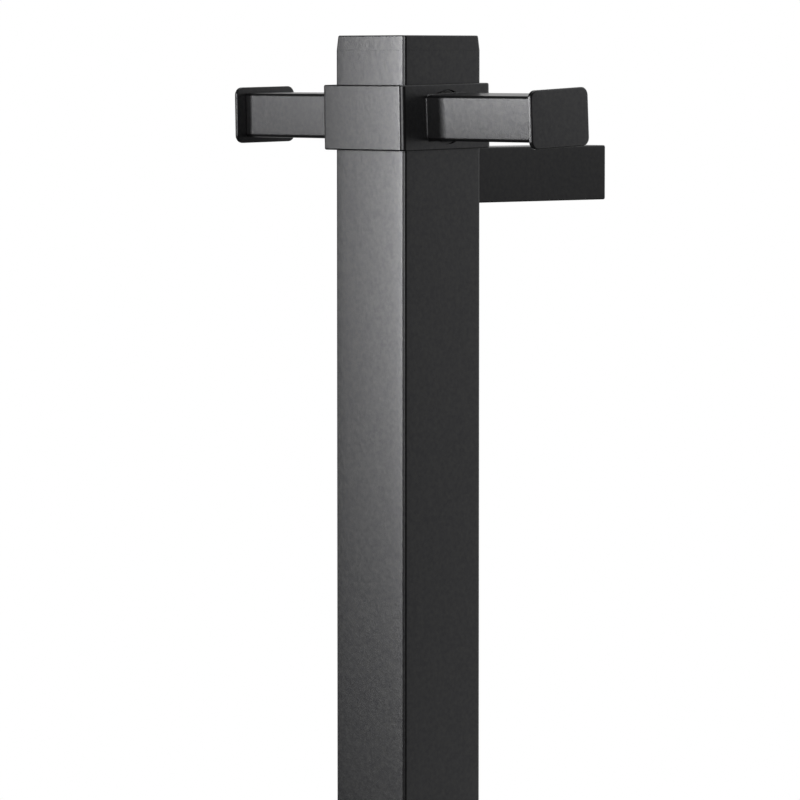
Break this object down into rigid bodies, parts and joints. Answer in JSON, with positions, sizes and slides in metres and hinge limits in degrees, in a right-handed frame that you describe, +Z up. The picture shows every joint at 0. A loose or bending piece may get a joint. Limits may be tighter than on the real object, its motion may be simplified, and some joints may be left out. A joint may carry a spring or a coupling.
{
  "type": "heated towel rail",
  "caption": "Vertical single-post electric towel rail: square black post on square wall arms, with a lift-off hook collar carrying a peg on each side.",
  "frame": {"origin": "on the wall plane, midway between the two wall screw holes", "axes": "+Z up along the post, +Y into the wall, +X to the right for someone who faces the wall"},
  "size_m": [0.1502, 0.1052, 0.9],
  "materials": {
    "black_coat": "satin black powder coat with a fine texture",
    "zinc_steel": "bright zinc plate",
    "black_oxide_steel": "black oxide",
    "spring_steel": "blued spring steel",
    "carrier_aluminium": "mill finish",
    "red_silicone": "matt silicone rubber",
    "black_rubber": "matt",
    "black_plastic": "matt moulded",
    "natural_nylon": "matt moulded",
    "brown_sleeve": "satin",
    "blue_sleeve": "satin",
    "earth_sleeve": "satin",
    "terminal_brass": "bright",
    "tinned_copper": "tinned"
  },
  "bodies": {
    "rail": {"post_tube": "black_coat", "top_cap": "black_coat", "bottom_cap": "black_coat", "bottom_cap_screw": "zinc_steel", "upper_bracket_arm": "black_coat", "lower_bracket_arm": "black_coat", "upper_wall_spigot": "zinc_steel", "lower_wall_spigot": "zinc_steel", "arm_grub_screws": "black_oxide_steel", "element_carrier": "carrier_aluminium", "heating_cable": "red_silicone", "cable_saddles": "natural_nylon", "saddle_rivets": "carrier_aluminium", "carrier_springs": "spring_steel", "spring_rivets": "carrier_aluminium", "cable_splices": "black_rubber", "thermal_cutout": "black_plastic", "cutout_clip": "zinc_steel", "clip_rivet": "carrier_aluminium", "terminal_block": "natural_nylon", "terminal_inserts": "terminal_brass", "terminal_screws": "zinc_steel", "block_screw": "zinc_steel", "live_lead": "brown_sleeve", "switched_lead": "brown_sleeve", "neutral_lead": "blue_sleeve", "earth_lead": "earth_sleeve", "earth_stud": "zinc_steel", "earth_ring_terminal": "tinned_copper", "earth_washer": "zinc_steel", "earth_nut": "zinc_steel", "lead_grommet": "black_rubber"},
    "hooks": {"hook_collar": "black_coat", "left_hook_arm": "black_coat", "right_hook_arm": "black_coat", "left_hook_plate": "black_coat", "right_hook_plate": "black_coat", "hook_seat_washers": "black_rubber", "hook_screws": "zinc_steel"}
  },
  "joints": [
    {"name": "hook_collar_lift", "type": "slide", "parent": "rail", "child": "hooks", "axis": [0, 0, 1], "range_m": [0, 0.04]}
  ]
}
